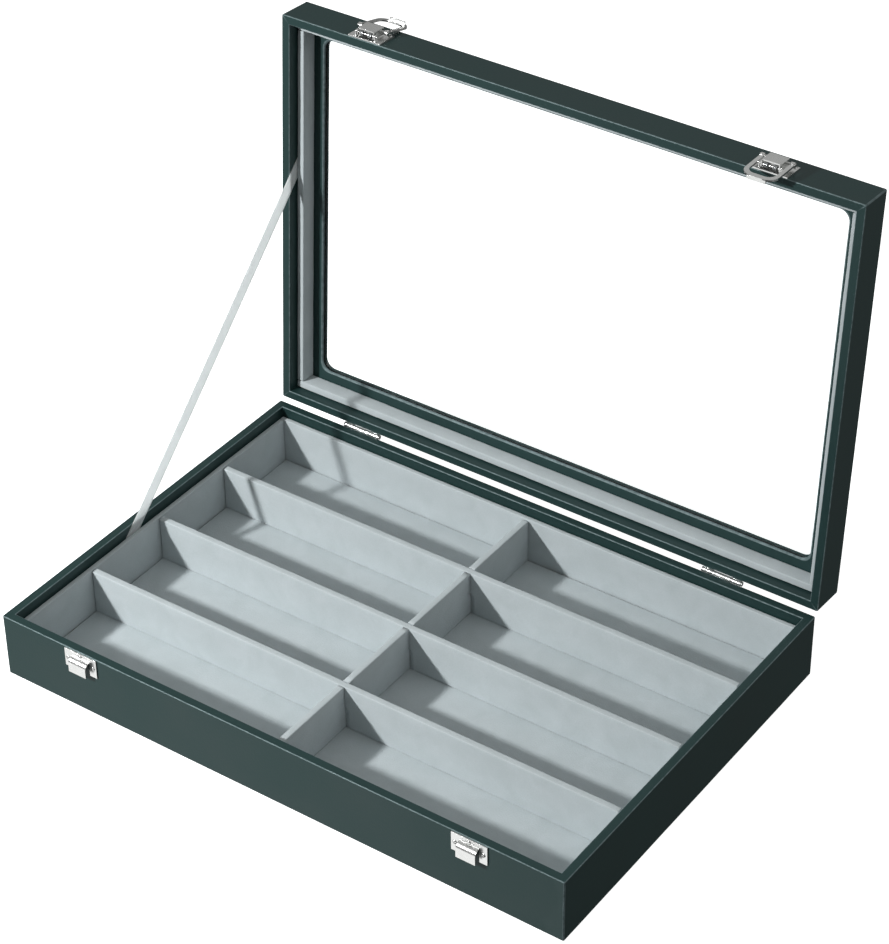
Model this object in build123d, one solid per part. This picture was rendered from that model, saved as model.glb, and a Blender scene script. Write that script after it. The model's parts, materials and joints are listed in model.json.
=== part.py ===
"""Glasses organizer: a leather-covered tray of eight velvet compartments under a glazed, hinged lid.

Millimetres. The origin is the middle of the tray's underside, +X runs to the right of someone who
faces the box, +Y runs to the hinges and +Z is up. The lid and what is on it are drawn shut, then
swung open about the hinge axis, and the open box is the rest pose.
"""

import os

from build123d import *

# Overall box
BOX_WIDTH = 350.0
BOX_DEPTH = 238.0
BASE_HEIGHT = 39.0
LID_HEIGHT = 21.4
PARTING_GAP = 0.6
OPEN_ANGLE = 93.8

# Boards and their covering
WALL_BOARD = 4.0
BOTTOM_BOARD = 3.0
LEATHER = 0.5
TURN_UNDER = 10.0
TURN_IN = 10.0
UNDERSIDE_SHEET = 0.6
SHEET_INSET = 1.5

# Velvet lining of the tray
GLUE_GAP = 0.4
LINER = 3.0
LINER_DROP = 5.8
FLOOR_PAD = 1.5
DIVIDER = 4.0
DIVIDER_DROP = 0.6
DIVIDER_EDGE = 1.2
SLIP = 0.3
LAP_SLACK = 0.15
ROWS = 4

# Window and lining of the lid
WINDOW_MARGIN = 16.0
WINDOW_RADIUS = 6.0
WINDOW_BOARD = 3.2
INNER_FRAME = 1.3
PANE = 1.5
PANE_LAP = 4.5
PANE_SLACK = 0.2
LID_LINER = 4.4
LID_LINER_DROP = 6.4

# Butt hinges
HINGE_X = 118.0
HINGE_LENGTH = 23.0
AXIS_BEHIND = 1.5
LEAF = 0.8
LEAF_HEIGHT = 13.0
BARREL_RADIUS = 1.4
HINGE_PIN_RADIUS = 0.7
HEAD_HEIGHT = 0.5
RUNNING = 0.05
KNUCKLE_GAP = 0.3

# Catch plates on the tray
LATCH_X = 121.3
CATCH_WIDTH = 21.0
CATCH_HEIGHT = 11.4
CATCH_DROP = 0.6
PLATE = 0.7
TONGUE_WIDTH = 11.4
TONGUE_REACH = 4.0
TONGUE_BEND = 3.3
TONGUE_TOP = 3.1
PRESS_GAP = 0.2

# Spring latches on the lid
LATCH_WIDTH = 20.6
LATCH_HEIGHT = 13.2
LATCH_RISE = 0.4
LEVER_WIDTH = 10.8
LEVER_LENGTH = 8.8
LEVER_FLANGE = 1.2
LEVER_CLEAR = 0.2
LEVER_PIVOT_RISE = 2.8
LEVER_PIVOT_OUT = 2.6
LOOP_PIVOT_RISE = 9.2
LOOP_PIVOT_OUT = 3.4
EAR_GAP = 0.4
EAR = 0.6
LATCH_PIN_RADIUS = 0.7
SPRING_RADIUS = 1.7
SPRING_WIRE = 0.7
SPRING_SLOT = 2.0
SPRING_GROOVE = 0.35
LOOP_WIDTH = 19.0
LOOP_REACH = 21.4
LOOP_ARM = 2.2
LOOP_BAR = 3.0
LOOP_CORNER = 6.5
LOOP_THICK = 1.1
LOOP_LIP = 1.3
LOOP_TILT = 2.9
LOOP_TRAVEL = 193.0

# Wood screws
SCREW_RADIUS = 0.8
SCREW_LENGTH = 3.4
SCREW_HEAD_RADIUS = 1.2
SCREW_HEAD = 0.6
SCREW_MARGIN = 0.5
SLOT_WIDTH = 0.35
SLOT_DEPTH = 0.3

# Ribbon stay on the left
RIBBON_WIDTH = 8.0
RIBBON = 0.3
RIBBON_TUCK = 6.0
STAY_BASE_Y = -19.5
STAY_LID_Y = -26.0

# Places worked out from the sizes above
HALF_X = BOX_WIDTH / 2
HALF_Y = BOX_DEPTH / 2
WALL = WALL_BOARD + 2 * LEATHER
INNER_X = HALF_X - WALL
INNER_Y = HALF_Y - WALL
LINED_X = INNER_X - GLUE_GAP - LINER
LINED_Y = INNER_Y - GLUE_GAP - LINER
BOARD_BOTTOM = UNDERSIDE_SHEET + LEATHER
FLOOR_BOARD_TOP = BOARD_BOTTOM + BOTTOM_BOARD
FLOOR_TOP = FLOOR_BOARD_TOP + FLOOR_PAD
LINER_TOP = BASE_HEIGHT - LINER_DROP
DIVIDER_TOP = LINER_TOP - DIVIDER_DROP
LAP_HEIGHT = (FLOOR_TOP + DIVIDER_TOP) / 2

LID_RIM = BASE_HEIGHT + PARTING_GAP
LID_TOP = LID_RIM + LID_HEIGHT
FRAME_BOTTOM = LID_TOP - LEATHER - WINDOW_BOARD
WINDOW_X = HALF_X - WINDOW_MARGIN
WINDOW_Y = HALF_Y - WINDOW_MARGIN

HINGE_Y = HALF_Y + AXIS_BEHIND
HINGE_Z = BASE_HEIGHT + PARTING_GAP / 2
HINGE_AXIS = Axis((0, HINGE_Y, HINGE_Z), (-1, 0, 0))
CATCH_TOP = BASE_HEIGHT - CATCH_DROP
CATCH_BOTTOM = CATCH_TOP - CATCH_HEIGHT
LOOP_AXIS = Axis((0, -HALF_Y - LOOP_PIVOT_OUT, LID_RIM + LOOP_PIVOT_RISE), (-1, 0, 0))
SIDES = (("left", -1), ("right", 1))


def block(x0, x1, y0, y1, z0, z1):
    """A box between two corners."""
    centre = Pos((x0 + x1) / 2, (y0 + y1) / 2, (z0 + z1) / 2)
    return centre * Box(abs(x1 - x0), abs(y1 - y0), abs(z1 - z0))


def ring(half_x, half_y, width, z0, z1):
    """A rectangular frame about the Z axis, of one width all round."""
    outer = block(-half_x, half_x, -half_y, half_y, z0, z1)
    return outer - block(width - half_x, half_x - width, width - half_y, half_y - width, z0, z1)


def rounded_block(half_x, half_y, radius, z0, z1):
    """A box about the Z axis with rounded upright edges."""
    return Pos(0, 0, z0) * extrude(RectangleRounded(2 * half_x, 2 * half_y, radius), z1 - z0)


def rod_x(x0, x1, y, z, radius):
    """A round bar along X."""
    return Pos((x0 + x1) / 2, y, z) * Rot(0, 90, 0) * Cylinder(radius, abs(x1 - x0))


def rod_y(y0, y1, x, z, radius):
    """A round bar along Y."""
    return Pos(x, (y0 + y1) / 2, z) * Rot(90, 0, 0) * Cylinder(radius, abs(y1 - y0))


def save(name, shape):
    """Write one node, a solid or a group of separate solids."""
    export_step(shape, f"parts/{name}.step")


def save_lid(name, shape):
    """Write a node that is drawn with the lid shut, with the lid open."""
    save(name, shape.rotate(HINGE_AXIS, OPEN_ANGLE))


def wall_boards(half_x, half_y, z0, z1):
    """Front, rear, left and right boards: the long ones run through and the short ones fit between."""
    inner_x = half_x - WALL_BOARD
    inner_y = half_y - WALL_BOARD
    return {
        "front": block(-half_x, half_x, -half_y, -inner_y, z0, z1),
        "rear": block(-half_x, half_x, inner_y, half_y, z0, z1),
        "left": block(-half_x, -inner_x, -inner_y, inner_y, z0, z1),
        "right": block(inner_x, half_x, -inner_y, inner_y, z0, z1),
    }


def liner_strips(thickness, z0, z1):
    """Four velvet-covered strips that stand just inside the walls."""
    outer_x = INNER_X - GLUE_GAP
    outer_y = INNER_Y - GLUE_GAP
    inner_x = outer_x - thickness
    inner_y = outer_y - thickness
    return {
        "front": block(-outer_x, outer_x, -outer_y, -inner_y, z0, z1),
        "rear": block(-outer_x, outer_x, inner_y, outer_y, z0, z1),
        "left": block(-outer_x, -inner_x, -inner_y, inner_y, z0, z1),
        "right": block(inner_x, outer_x, -inner_y, inner_y, z0, z1),
    }


# Screws. Each fixing is (x, z) on the front or the rear face of the box.
def screw(x, z, facing, seat):
    """A slotted pan-head wood screw along Y whose head stands on a plate's outer face."""
    start = facing * (HALF_Y + seat)
    shank = rod_y(start - facing * SCREW_LENGTH, start, x, z, SCREW_RADIUS)
    crown = start + facing * SCREW_HEAD
    head = rod_y(start, crown, x, z, SCREW_HEAD_RADIUS)
    slot_half = SCREW_HEAD_RADIUS + RUNNING
    floor = crown - facing * SLOT_DEPTH
    slot = block(x - slot_half, x + slot_half, floor, crown, z - SLOT_WIDTH / 2, z + SLOT_WIDTH / 2)
    return shank + head - slot


def screws(fixings, facing, seat):
    return Compound([screw(x, z, facing, seat) for x, z in fixings])


def drilled(shape, fixings, facing):
    """A shape with a hole for every screw that goes through or into it."""
    for x, z in fixings:
        shape -= rod_y(facing * (HALF_Y - SCREW_LENGTH), facing * (HALF_Y + SCREW_LENGTH), x, z,
                       SCREW_RADIUS + RUNNING)
    return shape


LEAF_SCREW_X = HINGE_LENGTH / 3
LEAF_SCREW_Z = BARREL_RADIUS + KNUCKLE_GAP + (LEAF_HEIGHT - BARREL_RADIUS) / 2
HINGE_BASE_FIXINGS = [(side * HINGE_X + dx, HINGE_Z - LEAF_SCREW_Z)
                      for _, side in SIDES for dx in (-LEAF_SCREW_X, LEAF_SCREW_X)]
HINGE_LID_FIXINGS = [(x, HINGE_Z + LEAF_SCREW_Z) for x, _ in HINGE_BASE_FIXINGS]

SIDE_SCREW_X = (CATCH_WIDTH + TONGUE_WIDTH) / 4 + PRESS_GAP
SIDE_SCREW_Z = CATCH_BOTTOM + CATCH_HEIGHT / 2
TOP_SCREW_Z = CATCH_TOP - SCREW_HEAD_RADIUS - SCREW_MARGIN
CATCH_SCREWS = ((-SIDE_SCREW_X, SIDE_SCREW_Z), (0, TOP_SCREW_Z), (SIDE_SCREW_X, SIDE_SCREW_Z))
CATCH_FIXINGS = [(side * LATCH_X + dx, z) for _, side in SIDES for dx, z in CATCH_SCREWS]

LATCH_TOP = LID_RIM + LATCH_RISE + LATCH_HEIGHT
LATCH_SCREW_X = LATCH_WIDTH / 2 - SCREW_HEAD_RADIUS - SCREW_MARGIN
LATCH_SCREW_Z = LATCH_TOP - SCREW_HEAD_RADIUS - SCREW_MARGIN
LATCH_FIXINGS = [(side * LATCH_X + dx, LATCH_SCREW_Z)
                 for _, side in SIDES for dx in (-LATCH_SCREW_X, LATCH_SCREW_X)]


# Tray: five boards, glued leather outside, a sheet over the turned-in edges underneath
def make_base_boards():
    boards = wall_boards(HALF_X - LEATHER, HALF_Y - LEATHER, BOARD_BOTTOM, BASE_HEIGHT - LEATHER)
    boards["front"] = drilled(boards["front"], CATCH_FIXINGS, -1)
    boards["rear"] = drilled(boards["rear"], HINGE_BASE_FIXINGS, 1)
    for name, board in boards.items():
        save(f"base_{name}_board", board)
    inner_x = HALF_X - LEATHER - WALL_BOARD
    inner_y = HALF_Y - LEATHER - WALL_BOARD
    save("base_bottom_board", block(-inner_x, inner_x, -inner_y, inner_y, BOARD_BOTTOM, FLOOR_BOARD_TOP))


def make_base_covering():
    cover = ring(HALF_X, HALF_Y, LEATHER, UNDERSIDE_SHEET, BASE_HEIGHT)
    cover += ring(HALF_X, HALF_Y, WALL, BASE_HEIGHT - LEATHER, BASE_HEIGHT)
    cover += ring(INNER_X + LEATHER, INNER_Y + LEATHER, LEATHER, BASE_HEIGHT - TURN_IN, BASE_HEIGHT)
    cover += ring(HALF_X, HALF_Y, TURN_UNDER, UNDERSIDE_SHEET, BOARD_BOTTOM)
    cover = drilled(drilled(cover, CATCH_FIXINGS, -1), HINGE_BASE_FIXINGS, 1)
    save("base_leather_cover", cover)
    sheet_x = HALF_X - SHEET_INSET
    sheet_y = HALF_Y - SHEET_INSET
    save("base_underside_sheet", block(-sheet_x, sheet_x, -sheet_y, sheet_y, 0, UNDERSIDE_SHEET))


# Lining: four strips, a floor pad, and dividers that are halved into each other
def make_base_lining():
    for name, strip in liner_strips(LINER, FLOOR_BOARD_TOP, LINER_TOP).items():
        save(f"base_liner_{name}", strip)
    pad_x = LINED_X - SLIP
    pad_y = LINED_Y - SLIP
    save("base_floor_pad", block(-pad_x, pad_x, -pad_y, pad_y, FLOOR_BOARD_TOP, FLOOR_TOP))


def divider_pitch():
    clear = (2 * LINED_Y - (ROWS - 1) * DIVIDER) / ROWS
    return clear + DIVIDER


def make_dividers():
    slot = DIVIDER / 2 + LAP_SLACK
    row_places = [divider_pitch() * (row - ROWS / 2) for row in range(ROWS - 1, 0, -1)]
    length_x = LINED_X - SLIP
    length_y = LINED_Y - SLIP
    centre = block(-DIVIDER / 2, DIVIDER / 2, -length_y, length_y, FLOOR_TOP, DIVIDER_TOP)
    centre = fillet(centre.edges().group_by(Axis.Z)[-1].filter_by(Axis.Y), DIVIDER_EDGE)
    for y in row_places:
        centre -= block(-slot, slot, y - slot, y + slot, LAP_HEIGHT, DIVIDER_TOP)
    save("centre_divider", centre)
    for name, y in zip(("rear", "middle", "front"), row_places):
        row = block(-length_x, length_x, y - DIVIDER / 2, y + DIVIDER / 2, FLOOR_TOP, DIVIDER_TOP)
        row = fillet(row.edges().group_by(Axis.Z)[-1].filter_by(Axis.X), DIVIDER_EDGE)
        row -= block(-slot, slot, y - slot, y + slot, FLOOR_TOP, LAP_HEIGHT + SLIP)
        save(f"row_divider_{name}", row)


# Lid: four wall boards under a rebated frame board, which holds the clear pane
def make_lid_boards():
    boards = wall_boards(HALF_X - LEATHER, HALF_Y - LEATHER, LID_RIM + LEATHER, FRAME_BOTTOM)
    boards["front"] = drilled(boards["front"], LATCH_FIXINGS, -1)
    boards["rear"] = drilled(boards["rear"], HINGE_LID_FIXINGS, 1)
    for name, board in boards.items():
        save_lid(f"lid_{name}_board", board)


def make_window():
    pane_x = WINDOW_X + PANE_LAP
    pane_y = WINDOW_Y + PANE_LAP
    rebate = PANE + PANE_SLACK
    frame = block(LEATHER - HALF_X, HALF_X - LEATHER, LEATHER - HALF_Y, HALF_Y - LEATHER,
                  FRAME_BOTTOM, LID_TOP - LEATHER)
    frame -= rounded_block(WINDOW_X + LEATHER, WINDOW_Y + LEATHER, WINDOW_RADIUS, FRAME_BOTTOM, LID_TOP)
    rebate_x = pane_x + PANE_SLACK
    rebate_y = pane_y + PANE_SLACK
    frame -= block(-rebate_x, rebate_x, -rebate_y, rebate_y, FRAME_BOTTOM, FRAME_BOTTOM + rebate)
    save_lid("window_frame_board", frame)
    pane_bottom = FRAME_BOTTOM + PANE_SLACK / 2
    save_lid("window_pane", block(-pane_x, pane_x, -pane_y, pane_y, pane_bottom, pane_bottom + PANE))
    inner_x = HALF_X - LEATHER - WALL_BOARD - SLIP
    inner_y = HALF_Y - LEATHER - WALL_BOARD - SLIP
    inner = block(-inner_x, inner_x, -inner_y, inner_y, FRAME_BOTTOM - INNER_FRAME, FRAME_BOTTOM)
    inner -= rounded_block(WINDOW_X, WINDOW_Y, WINDOW_RADIUS, FRAME_BOTTOM - INNER_FRAME, FRAME_BOTTOM)
    save_lid("window_inner_frame", inner)


def make_lid_covering():
    cover = ring(HALF_X, HALF_Y, LEATHER, LID_RIM, LID_TOP)
    cover += ring(HALF_X, HALF_Y, WALL, LID_RIM, LID_RIM + LEATHER)
    cover += ring(INNER_X + LEATHER, INNER_Y + LEATHER, LEATHER, LID_RIM, LID_RIM + TURN_IN)
    wrap_bottom = FRAME_BOTTOM + PANE + 2 * PANE_SLACK
    top = block(-HALF_X, HALF_X, -HALF_Y, HALF_Y, LID_TOP - LEATHER, LID_TOP)
    top += rounded_block(WINDOW_X + LEATHER, WINDOW_Y + LEATHER, WINDOW_RADIUS, wrap_bottom, LID_TOP)
    top -= rounded_block(WINDOW_X, WINDOW_Y, WINDOW_RADIUS, wrap_bottom, LID_TOP)
    cover += top
    save_lid("lid_leather_cover", drilled(drilled(cover, LATCH_FIXINGS, -1), HINGE_LID_FIXINGS, 1))


def make_lid_lining():
    strips = liner_strips(LID_LINER, LID_RIM + LID_LINER_DROP, FRAME_BOTTOM - INNER_FRAME)
    for name, strip in strips.items():
        save_lid(f"lid_liner_{name}", strip)


# Butt hinges on the outside of the rear walls: the tray's leaf has the middle knuckle
def hinge_leaf(x, up, knuckles):
    """A leaf that goes up or down from the axis, with its knuckles as (start, end) shares of its length."""
    near = HINGE_Z + up * (BARREL_RADIUS + KNUCKLE_GAP)
    far = HINGE_Z + up * LEAF_HEIGHT
    leaf = block(x - HINGE_LENGTH / 2, x + HINGE_LENGTH / 2, HALF_Y, HALF_Y + LEAF, near, far)
    for start, end in knuckles:
        x0 = x + HINGE_LENGTH * (start - 0.5) + (KNUCKLE_GAP / 2 if start > 0 else 0)
        x1 = x + HINGE_LENGTH * (end - 0.5) - (KNUCKLE_GAP / 2 if end < 1 else 0)
        leaf += block(x0, x1, HALF_Y, HALF_Y + LEAF, near, HINGE_Z)
        leaf += rod_x(x0, x1, HINGE_Y, HINGE_Z, BARREL_RADIUS)
    return leaf - rod_x(x - HINGE_LENGTH, x + HINGE_LENGTH, HINGE_Y, HINGE_Z, HINGE_PIN_RADIUS + RUNNING)


def make_hinges():
    for name, side in SIDES:
        x = side * HINGE_X
        leaf_base = drilled(hinge_leaf(x, -1, [(1 / 4, 3 / 4)]), HINGE_BASE_FIXINGS, 1)
        save(f"hinge_base_leaf_{name}", leaf_base)
        leaf_lid = drilled(hinge_leaf(x, 1, [(0, 1 / 4), (3 / 4, 1)]), HINGE_LID_FIXINGS, 1)
        save_lid(f"hinge_lid_leaf_{name}", leaf_lid)
        end = HINGE_LENGTH / 2 + KNUCKLE_GAP
        pin = rod_x(x - end, x + end, HINGE_Y, HINGE_Z, HINGE_PIN_RADIUS)
        for head in (-1, 1):
            pin += rod_x(x + head * end, x + head * (end + HEAD_HEIGHT), HINGE_Y, HINGE_Z,
                         BARREL_RADIUS - RUNNING)
        save(f"hinge_pin_{name}", pin)
    save("hinge_base_screws", screws(HINGE_BASE_FIXINGS, 1, LEAF))
    save_lid("hinge_lid_screws", screws(HINGE_LID_FIXINGS, 1, LEAF))


# Catch plates: a tongue pressed out of the plate, which leaves a notch behind it
def catch_plate(x):
    face = -HALF_Y - PLATE
    root_top = CATCH_TOP - TONGUE_TOP
    bend_z = root_top - TONGUE_BEND
    x0 = x - TONGUE_WIDTH / 2
    x1 = x + TONGUE_WIDTH / 2
    plate = block(x - CATCH_WIDTH / 2, x + CATCH_WIDTH / 2, face, -HALF_Y, CATCH_BOTTOM, CATCH_TOP)
    plate -= block(x0 - PRESS_GAP, x1 + PRESS_GAP, face, -HALF_Y, CATCH_BOTTOM, root_top - PLATE)
    bend = rod_x(x0, x1, face, bend_z, TONGUE_BEND) - rod_x(x0, x1, face, bend_z, TONGUE_BEND - PLATE)
    front = -HALF_Y - TONGUE_REACH
    bend &= block(x0, x1, front, face, bend_z, root_top)
    tip = block(x0, x1, front, front + PLATE, CATCH_BOTTOM, bend_z)
    return drilled(plate + bend + tip, CATCH_FIXINGS, -1)


def make_catches():
    for name, side in SIDES:
        save(f"catch_plate_{name}", catch_plate(side * LATCH_X))
    save("catch_screws", screws(CATCH_FIXINGS, -1, PLATE))


# Latches: a sprung lever turns in the plate's ears and carries the loop on its own pin
LEVER_Y = -HALF_Y - LEVER_PIVOT_OUT
LEVER_Z = LID_RIM + LEVER_PIVOT_RISE
LOOP_Y = -HALF_Y - LOOP_PIVOT_OUT
LOOP_Z = LID_RIM + LOOP_PIVOT_RISE
EAR_INSIDE = LEVER_WIDTH / 2 + EAR_GAP
PIN_HOLE = LATCH_PIN_RADIUS + RUNNING


def pinned(shape, x, y, z):
    """A shape with a running hole for a latch pin."""
    return shape - rod_x(x - LATCH_WIDTH, x + LATCH_WIDTH, y, z, PIN_HOLE)


def headed_pin(x, half_length, y, z):
    """A latch pin with a flat head outside each end."""
    pin = rod_x(x - half_length, x + half_length, y, z, LATCH_PIN_RADIUS)
    for x0 in (x - half_length - EAR_GAP, x + half_length):
        pin += rod_x(x0, x0 + EAR_GAP, y, z, 1.5 * LATCH_PIN_RADIUS)
    return pin


def latch_plate(x):
    plate = block(x - LATCH_WIDTH / 2, x + LATCH_WIDTH / 2, -HALF_Y - PLATE, -HALF_Y,
                  LID_RIM + LATCH_RISE, LATCH_TOP)
    ear_reach = LEVER_PIVOT_OUT + 2 * LATCH_PIN_RADIUS
    for side in (-1, 1):
        x0 = x + side * EAR_INSIDE
        ear = block(x0, x0 + side * EAR, -HALF_Y - ear_reach, -HALF_Y - PLATE,
                    LEVER_Z - 2 * LATCH_PIN_RADIUS, LEVER_Z + 2 * LATCH_PIN_RADIUS)
        plate += fillet(ear.edges().group_by(Axis.Y)[0].filter_by(Axis.X), LATCH_PIN_RADIUS)
    return drilled(pinned(plate, x, LEVER_Y, LEVER_Z), LATCH_FIXINGS, -1)


def profile_x(points, x0, x1):
    """A polygon of (distance out from the front face, height) run along X."""
    outline = Polyline(*[(0, -HALF_Y - out, z) for out, z in points], close=True)
    return Pos(x0, 0, 0) * extrude(make_face(outline), x1 - x0, dir=(1, 0, 0))


def latch_lever(x):
    under = LEVER_PIVOT_OUT + SPRING_RADIUS + LEVER_CLEAR
    front = LEVER_Z - EAR_GAP
    half = LEVER_WIDTH / 2
    top = block(x - half, x + half, -HALF_Y - under - PLATE, -HALF_Y - under, front, front + LEVER_LENGTH)
    lever = fillet(top.edges().filter_by(Axis.Y), PLATE)
    flange_low = LEVER_PIVOT_OUT - LEVER_FLANGE
    flange_start = LEVER_Z - LEVER_FLANGE
    flange = [(flange_low, flange_start), (under, flange_start), (under, front + LEVER_LENGTH - PLATE),
              (flange_low, front + LEVER_LENGTH - PLATE)]
    lever += profile_x(flange, x - half, x - half + EAR)
    lever += profile_x(flange, x + half - EAR, x + half)
    return pinned(pinned(lever, x, LEVER_Y, LEVER_Z), x, LOOP_Y, LOOP_Z)


def latch_spring(x):
    """Two close-wound coils about the lever's pin, with a slot between them."""
    coils = []
    wound = LEVER_WIDTH / 2 - EAR - EAR_GAP
    turns = int((wound - SPRING_SLOT / 2) / SPRING_WIRE)
    ring_radius = SPRING_RADIUS - SPRING_WIRE / 2
    core = SPRING_RADIUS - SPRING_GROOVE * SPRING_WIRE
    for side in (-1, 1):
        ends = sorted((side * SPRING_SLOT / 2, side * (SPRING_SLOT / 2 + turns * SPRING_WIRE)))
        coil = rod_x(x + ends[0], x + ends[1], LEVER_Y, LEVER_Z, core)
        for turn in range(turns):
            centre = ends[0] + (turn + 0.5) * SPRING_WIRE
            coil += Pos(x + centre, LEVER_Y, LEVER_Z) * Rot(0, 90, 0) * Torus(ring_radius, SPRING_WIRE / 2)
        coils.append(coil - rod_x(x + ends[0], x + ends[1], LEVER_Y, LEVER_Z, PIN_HOLE))
    return Compound(coils)


def latch_loop(x):
    """A D-shaped loop that hangs from its pin, with a lip turned in at its closed end."""
    half = LOOP_WIDTH / 2
    arms_top = LOOP_REACH / 2
    outline = Pos(0, -LOOP_REACH / 4) * Rectangle(LOOP_WIDTH, LOOP_REACH / 2)
    outline = fillet(outline.vertices().group_by(Axis.Y)[0], LOOP_CORNER)
    outline += Pos(0, arms_top / 2) * Rectangle(LOOP_WIDTH, arms_top)
    hole_low = LOOP_BAR - LOOP_REACH / 2
    hole_half = half - LOOP_ARM
    hole = Pos(0, (hole_low + arms_top) / 2) * Rectangle(2 * hole_half, arms_top - hole_low)
    hole = fillet(hole.vertices().group_by(Axis.Y)[0], LOOP_CORNER - LOOP_ARM)
    centre = (x, LOOP_Y - LOOP_THICK / 2, LOOP_Z - LOOP_REACH / 2)
    flat = Plane(origin=centre, x_dir=(1, 0, 0), z_dir=(0, -1, 0))
    loop = extrude(flat * (outline - hole), -LOOP_THICK)
    for side in (-1, 1):
        loop += rod_x(x + side * hole_half, x + side * half, LOOP_Y, LOOP_Z, 2 * LATCH_PIN_RADIUS)
    lip_half = half - LOOP_CORNER + LOOP_ARM
    low = LOOP_Z - LOOP_REACH
    loop += block(x - lip_half, x + lip_half, LOOP_Y, LOOP_Y + LOOP_THICK / 2 + LOOP_LIP, low, low + PLATE)
    return pinned(loop, x, LOOP_Y, LOOP_Z).rotate(LOOP_AXIS, -LOOP_TILT)


def make_latches():
    for name, side in SIDES:
        x = side * LATCH_X
        save_lid(f"latch_plate_{name}", latch_plate(x))
        save_lid(f"latch_lever_pin_{name}", headed_pin(x, EAR_INSIDE + EAR, LEVER_Y, LEVER_Z))
        save_lid(f"latch_spring_{name}", latch_spring(x))
        save_lid(f"latch_lever_{name}", latch_lever(x))
        save_lid(f"latch_loop_pin_{name}", headed_pin(x, LOOP_WIDTH / 2 + RUNNING, LOOP_Y, LOOP_Z))
    save_lid("latch_loop_left", latch_loop(-LATCH_X).rotate(LOOP_AXIS, LOOP_TRAVEL))
    save_lid("latch_loop_right", latch_loop(LATCH_X))
    save_lid("latch_screws", screws(LATCH_FIXINGS, -1, PLATE))


# Ribbon stay: its ends are tucked between wall and liner, and it stops the lid
def make_ribbon():
    low = Vector(0, STAY_BASE_Y, LINER_TOP)
    anchor = Pos(0, STAY_LID_Y, LID_RIM + LID_LINER_DROP) * Box(1, 1, 1)
    high = anchor.rotate(HINGE_AXIS, OPEN_ANGLE).center()
    span = high - low
    length = span.length + 2 * RIBBON_TUCK
    middle = (low + high) * 0.5
    lean = Vector(0, 0, 1).get_signed_angle(span, Vector(1, 0, 0))
    tape = Rot(lean, 0, 0) * Box(RIBBON, RIBBON_WIDTH, length)
    save("ribbon_stay", Pos(GLUE_GAP / 2 - INNER_X, middle.Y, middle.Z) * tape)
    print(f"ribbon between its ends {span.length:.1f} mm, cut length {length:.1f} mm")


os.makedirs("parts", exist_ok=True)
make_base_boards()
make_base_covering()
make_base_lining()
make_dividers()
make_lid_boards()
make_window()
make_lid_covering()
make_lid_lining()
make_hinges()
make_catches()
make_latches()
make_ribbon()
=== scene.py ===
import json
import math

import bmesh
import bpy
from mathutils import Matrix, Vector, noise


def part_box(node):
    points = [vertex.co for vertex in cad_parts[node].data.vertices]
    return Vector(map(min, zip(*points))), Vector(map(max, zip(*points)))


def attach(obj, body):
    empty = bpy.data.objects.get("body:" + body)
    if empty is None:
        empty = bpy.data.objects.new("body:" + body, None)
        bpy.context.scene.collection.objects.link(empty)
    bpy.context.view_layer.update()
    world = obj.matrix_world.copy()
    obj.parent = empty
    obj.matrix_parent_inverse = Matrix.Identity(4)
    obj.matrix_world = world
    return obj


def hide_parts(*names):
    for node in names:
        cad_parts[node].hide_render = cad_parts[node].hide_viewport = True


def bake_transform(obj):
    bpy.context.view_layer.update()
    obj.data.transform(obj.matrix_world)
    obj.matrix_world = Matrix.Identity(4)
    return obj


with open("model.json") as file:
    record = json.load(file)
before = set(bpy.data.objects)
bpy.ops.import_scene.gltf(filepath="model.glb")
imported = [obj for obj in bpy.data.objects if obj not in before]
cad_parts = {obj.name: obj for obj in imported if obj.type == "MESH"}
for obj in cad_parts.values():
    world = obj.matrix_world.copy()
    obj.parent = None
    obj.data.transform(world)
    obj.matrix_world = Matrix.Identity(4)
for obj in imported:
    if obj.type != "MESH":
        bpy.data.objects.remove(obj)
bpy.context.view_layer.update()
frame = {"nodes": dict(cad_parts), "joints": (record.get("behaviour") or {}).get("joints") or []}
scene = bpy.context.scene
scene.view_settings.view_transform = "Standard"
MM = 0.001

# ---------------------------------------------------------------------------------------------
# Camera: a short telephoto, well above the open box and off to its right-hand front.
# ---------------------------------------------------------------------------------------------
camera = bpy.data.objects.new("camera", bpy.data.cameras.new("camera"))
scene.collection.objects.link(camera)
scene.camera = camera
camera.data.lens = 111.585
camera.data.sensor_width = 36
camera.location = (0.7024, -0.9522, 0.9996)
camera.rotation_euler = [math.radians(angle) for angle in (53.734, 0.575, 35.025)]


# ---------------------------------------------------------------------------------------------
# Studio: a white, lit floor in a room that is brightest overhead and to the right, and one small
# lamp close by at the left front, which throws crisp shadows into the tray. Two white cards are
# seen only in shiny surfaces. The floor is kept out of them, so that the dark leather stays dark.
# ---------------------------------------------------------------------------------------------
def linear(code):
    """An sRGB hex colour as the linear RGBA that a shader takes."""
    channels = [int(code[i:i + 2], 16) / 255 for i in (0, 2, 4)]
    return [c / 12.92 if c <= 0.04045 else ((c + 0.055) / 1.055) ** 2.4 for c in channels] + [1.0]


def add_node(tree, kind, inputs=None, **settings):
    """Adds a node, sets its properties, and fills or links its inputs by name or place."""
    node = tree.nodes.new(kind)
    for name, value in settings.items():
        setattr(node, name, value)
    for key, value in (inputs or {}).items():
        if isinstance(value, bpy.types.NodeSocket):
            tree.links.new(value, node.inputs[key])
        else:
            node.inputs[key].default_value = value
    return node


def new_finish(name, **sockets):
    """A material with one Principled shader, its node tree and that shader."""
    material = bpy.data.materials.new(name)
    material.use_nodes = True
    tree = material.node_tree
    shader = tree.nodes["Principled BSDF"]
    for socket, value in sockets.items():
        shader.inputs[socket.replace("_", " ")].default_value = value
    return material, tree, shader


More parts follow.
